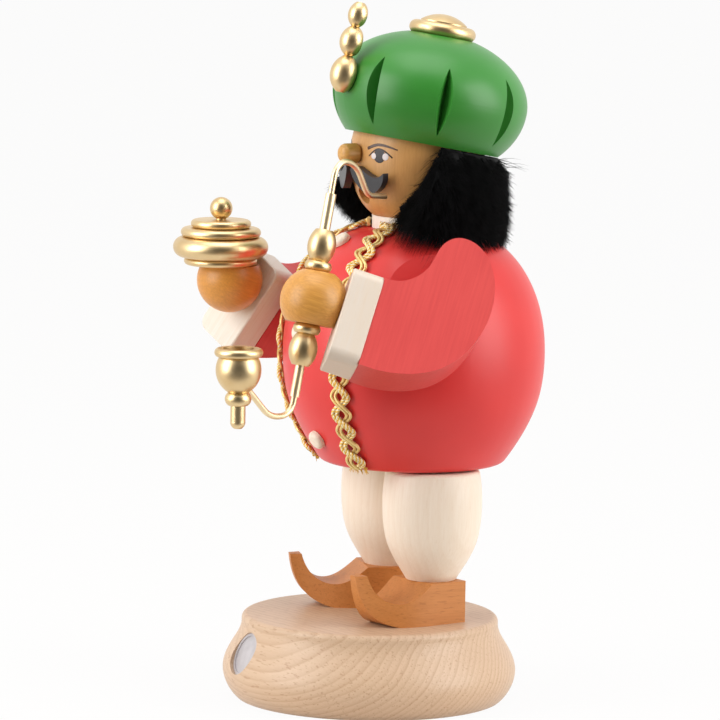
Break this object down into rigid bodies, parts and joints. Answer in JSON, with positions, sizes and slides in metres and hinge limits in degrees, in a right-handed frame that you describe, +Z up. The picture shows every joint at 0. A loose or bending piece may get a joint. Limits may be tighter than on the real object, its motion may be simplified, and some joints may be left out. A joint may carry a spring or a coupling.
{
  "type": "incense smoker figure",
  "caption": "Turned wooden incense smoker: stout turbaned figure with a water pipe and a covered dish, whose hollow body lifts off its seat over an incense plate and smokes at the mouth.",
  "frame": {"origin": "centre of the base's flat underside", "axes": "+Z up; the figure faces -Y, and its left hand, with the pipe, is on +X"},
  "size_m": [0.1342, 0.1494, 0.2585],
  "materials": {
    "beech": "bare beech with flecks and growth rings, silk lacquer",
    "medallion_metal": "plain silver-grey disc",
    "slipper_stain": "orange-brown stain, satin",
    "maple": "bare pale maple, silk lacquer",
    "dowel_wood": "bare beech",
    "tin": "plain tin",
    "red_paint": "red satin paint on wood",
    "skin_stain": "golden-brown stain, satin",
    "nose_stain": "orange-brown stain, satin",
    "hand_stain": "golden-brown stain, satin",
    "black_paint": "black satin paint on wood",
    "fur": "shaggy black fur",
    "green_paint": "green satin paint on wood",
    "gold_paint": "champagne metallic gold paint on wood",
    "brass": "polished brass",
    "gold_braid": "pale gold gimp braid"
  },
  "bodies": {
    "stand": {"base": "beech", "medallion": "medallion_metal", "left_slipper": "slipper_stain", "right_slipper": "slipper_stain", "left_leg": "maple", "right_leg": "maple", "foot_dowels": "dowel_wood", "hip_dowels": "dowel_wood", "seat_disc": "dowel_wood", "incense_plate": "tin", "plate_tack": "tin"},
    "upper_figure": {"coat_body": "red_paint", "collar": "maple", "head": "skin_stain", "nose": "nose_stain", "left_moustache": "black_paint", "right_moustache": "black_paint", "fur_hair": "fur", "turban": "green_paint", "turban_dowel": "dowel_wood", "turban_knob": "gold_paint", "plume": "gold_paint", "plume_pin": "tin", "left_sleeve": "red_paint", "right_sleeve": "red_paint", "left_cuff": "maple", "right_cuff": "maple", "left_hand": "hand_stain", "right_hand": "hand_stain", "shoulder_dowels": "dowel_wood", "hand_dowels": "dowel_wood", "covered_dish": "gold_paint", "dish_dowel": "dowel_wood", "pipe_stem": "brass", "pipe_upper_bead": "gold_paint", "pipe_lower_bead": "gold_paint", "pipe_mouthpiece": "brass", "pipe_elbow": "brass", "pipe_bowl": "gold_paint", "coat_buttons": "maple", "left_braid": "gold_braid", "right_braid": "gold_braid"}
  },
  "joints": [
    {"name": "figure_lift", "type": "slide", "parent": "stand", "child": "upper_figure", "axis": [0, 0, 1], "range_m": [0, 0.08]}
  ]
}
